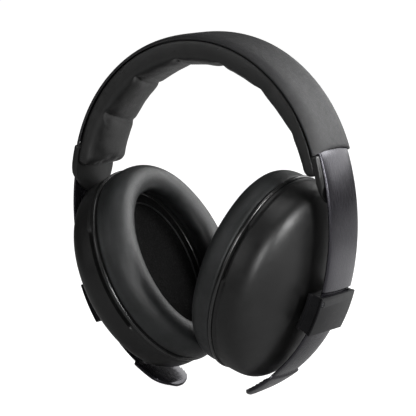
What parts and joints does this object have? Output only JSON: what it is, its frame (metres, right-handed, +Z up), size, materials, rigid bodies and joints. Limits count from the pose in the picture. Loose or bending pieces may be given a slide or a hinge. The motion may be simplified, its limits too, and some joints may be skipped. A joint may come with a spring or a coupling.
{
  "type": "earmuff hearing protector",
  "caption": "Passive earmuff hearing protector: padded, arched headband with curved arms, sliding and pivoting oval ear cups, and soft ring cushions.",
  "frame": {"origin": "middle of the wearer's head, halfway between the two cups and level with the right cup's rim centre", "axes": "+Z up to the headband's crown, +X towards the right cup, -Y towards the front"},
  "size_m": [0.1248, 0.0746, 0.1442],
  "materials": {
    "cover_leather": "smooth matte leatherette",
    "pad_leather": "soft quilted leatherette",
    "satin_plastic": "satin",
    "shell_plastic": "satin matte",
    "liner_plastic": "satin",
    "cushion_leather": "soft leatherette",
    "dark_foam": "open-cell foam",
    "dark_cloth": "thin woven cloth",
    "steel": "satin",
    "stud_plastic": "satin"
  },
  "bodies": {
    "headband": {"headband_cover": "cover_leather", "headband_liner": "liner_plastic", "headband_pad": "pad_leather", "spring_band": "steel"},
    "right_arm": {"right_arm": "satin_plastic"},
    "right_slider": {"right_slider_base": "satin_plastic", "right_slider_cover": "satin_plastic", "right_slider_screw": "steel"},
    "right_stud": {"right_ball_stud": "stud_plastic", "right_stud_washer": "steel", "right_stud_nut": "steel"},
    "right_cup": {"right_cup_shell": "shell_plastic", "right_cushion_plate": "satin_plastic", "right_ear_cushion": "cushion_leather", "right_acoustic_foam": "dark_foam", "right_foam_cloth": "dark_cloth"},
    "left_arm": {"left_arm": "satin_plastic"},
    "left_slider": {"left_slider_base": "satin_plastic", "left_slider_cover": "satin_plastic", "left_slider_screw": "steel"},
    "left_stud": {"left_ball_stud": "stud_plastic", "left_stud_washer": "steel", "left_stud_nut": "steel"},
    "left_cup": {"left_cup_shell": "shell_plastic", "left_cushion_plate": "satin_plastic", "left_ear_cushion": "cushion_leather", "left_acoustic_foam": "dark_foam", "left_foam_cloth": "dark_cloth"}
  },
  "joints": [
    {"name": "right_arm_spread", "type": "hinge", "parent": "headband", "child": "right_arm", "pos_m": [0.05769, 0, 0.0512], "axis": [0, -1, 0], "range_deg": [0, 10.3]},
    {"name": "right_cup_height", "type": "hinge", "parent": "right_arm", "child": "right_slider", "pos_m": [-0.00654, 0, 0.01333], "axis": [0, 1, 0], "range_deg": [0, 17.1]},
    {"name": "right_cup_tilt", "type": "hinge", "parent": "right_slider", "child": "right_stud", "pos_m": [0.0512, 0, -0.01236], "axis": [0, -1, 0], "range_deg": [0, 3.5]},
    {"name": "right_cup_swivel", "type": "hinge", "parent": "right_stud", "child": "right_cup", "pos_m": [0.0512, 0, -0.01236], "axis": [0.3567, 0, 0.9342], "range_deg": [-5, 5]},
    {"name": "left_arm_spread", "type": "hinge", "parent": "headband", "child": "left_arm", "pos_m": [-0.05769, 0, 0.0512], "axis": [0, 1, 0], "range_deg": [0, 10.3]},
    {"name": "left_cup_height", "type": "hinge", "parent": "left_arm", "child": "left_slider", "pos_m": [0.00654, 0, 0.01333], "axis": [0, -1, 0], "range_deg": [0, 17.1]},
    {"name": "left_cup_tilt", "type": "hinge", "parent": "left_slider", "child": "left_stud", "pos_m": [-0.05013, 0, -0.01466], "axis": [0, 1, 0], "range_deg": [0, 5.5]},
    {"name": "left_cup_swivel", "type": "hinge", "parent": "left_stud", "child": "left_cup", "pos_m": [-0.05013, 0, -0.01466], "axis": [-0.4321, 0, 0.9018], "range_deg": [-5, 5]}
  ],
  "couplings": [
    {"joint": "right_arm_spread", "follows": "right_cup_height", "ratio": 0.6},
    {"joint": "left_arm_spread", "follows": "left_cup_height", "ratio": 0.6}
  ]
}
